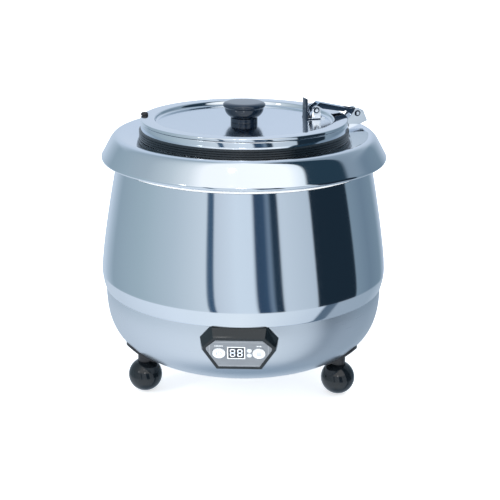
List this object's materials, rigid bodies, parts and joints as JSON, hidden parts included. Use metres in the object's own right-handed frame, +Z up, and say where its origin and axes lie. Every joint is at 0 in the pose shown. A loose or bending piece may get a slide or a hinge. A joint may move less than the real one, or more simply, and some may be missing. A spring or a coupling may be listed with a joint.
{
  "type": "soup kettle",
  "caption": "Wet-heat soup kettle with a bulged polished casing, lift-out pot, lid ring with two-stage hinged lid, front control panel and ball feet.",
  "frame": {"origin": "on the floor under the kettle's axis, at the middle of its footprint", "axes": "+Z up the kettle's axis, +Y towards the rear cable inlet, and the control panel faces -Y"},
  "size_m": [0.3428, 0.351, 0.3396],
  "materials": {
    "polished_steel": "mirror-polished stainless sheet",
    "brushed_steel": "fine brushed stainless sheet",
    "black_plastic": "glossy black moulding",
    "matt_plastic": "fine matt black moulding",
    "rubber": "soft black rubber",
    "panel_film": "satin grey film",
    "display": "dark tinted window",
    "display_light": "lit segments",
    "lamp": "small lamp lenses",
    "fastener_steel": "plain zinc-plated or stainless steel",
    "brass": "plain brass",
    "cast_aluminium": "as cast",
    "circuit_board": "green solder mask",
    "light_plastic": "pale moulding",
    "lead_cover": "silicone lead cover"
  },
  "bodies": {
    "kettle": {"foot_balls": "black_plastic", "foot_saddles": "matt_plastic", "foot_spacers": "fastener_steel", "foot_bolts": "fastener_steel", "bowl_shell": "brushed_steel", "base_plate": "brushed_steel", "base_screws": "fastener_steel", "barrel_shell": "polished_steel", "neck_bead": "light_plastic", "collar": "polished_steel", "water_bath": "brushed_steel", "heater_plate": "cast_aluminium", "heating_element": "fastener_steel", "heater_clamp": "fastener_steel", "heater_stud": "fastener_steel", "heater_nut": "brass", "tie_studs": "fastener_steel", "tie_nuts": "brass", "thermal_cutout": "matt_plastic", "temperature_sensor": "fastener_steel", "control_bezel": "black_plastic", "control_face": "panel_film", "display_window": "display", "display_module": "light_plastic", "display_digits": "display_light", "status_lamps": "lamp", "control_box": "matt_plastic", "control_board": "circuit_board", "tact_switches": "matt_plastic", "control_screws": "fastener_steel", "power_board": "circuit_board", "relay": "matt_plastic", "transformer": "matt_plastic", "terminal_block": "light_plastic", "board_posts": "brass", "board_screws": "fastener_steel", "cable_gland": "matt_plastic", "gland_nut": "matt_plastic", "earth_screw": "brass", "heater_leads": "lead_cover", "sensor_lead": "lead_cover", "panel_lead": "lead_cover", "mains_leads": "lead_cover"},
    "pot": {"soup_pot": "brushed_steel"},
    "ring": {"ring_skirt": "black_plastic", "lid_ring": "polished_steel", "ring_bracket": "polished_steel", "bracket_rivets": "polished_steel", "ring_hinge_pin": "polished_steel"},
    "arm": {"hinge_arm": "polished_steel"},
    "lid": {"lid_panel": "brushed_steel", "lid_bracket": "polished_steel", "lid_hinge_pin": "polished_steel", "lid_rivets": "polished_steel", "lid_knob": "black_plastic", "knob_screw": "fastener_steel", "lid_bumper": "rubber"},
    "power_button": {"power_button": "panel_film"},
    "set_button": {"set_button": "panel_film"}
  },
  "joints": [
    {"name": "pot_lift", "type": "slide", "parent": "kettle", "child": "pot", "axis": [0, 0, 1], "range_m": [0, 0.25]},
    {"name": "ring_lift", "type": "slide", "parent": "pot", "child": "ring", "axis": [0, 0, 1], "range_m": [0, 0.08]},
    {"name": "arm_hinge", "type": "hinge", "parent": "ring", "child": "arm", "pos_m": [0.13312, 0.0407, 0.3203], "axis": [-0.2924, 0.9563, 0], "range_deg": [0, 100]},
    {"name": "lid_hinge", "type": "hinge", "parent": "arm", "child": "lid", "pos_m": [0.08324, 0.02545, 0.3263], "axis": [-0.2924, 0.9563, 0], "range_deg": [0, 12]},
    {"name": "power_press", "type": "slide", "parent": "kettle", "child": "power_button", "axis": [0, 0.9455, 0.3256], "range_m": [0, 0.0005], "stiffness_N_per_m": 900},
    {"name": "set_press", "type": "slide", "parent": "kettle", "child": "set_button", "axis": [0, 0.9455, 0.3256], "range_m": [0, 0.0005], "stiffness_N_per_m": 900}
  ],
  "couplings": [
    {"joint": "lid_hinge", "follows": "arm_hinge", "ratio": 0.1}
  ]
}
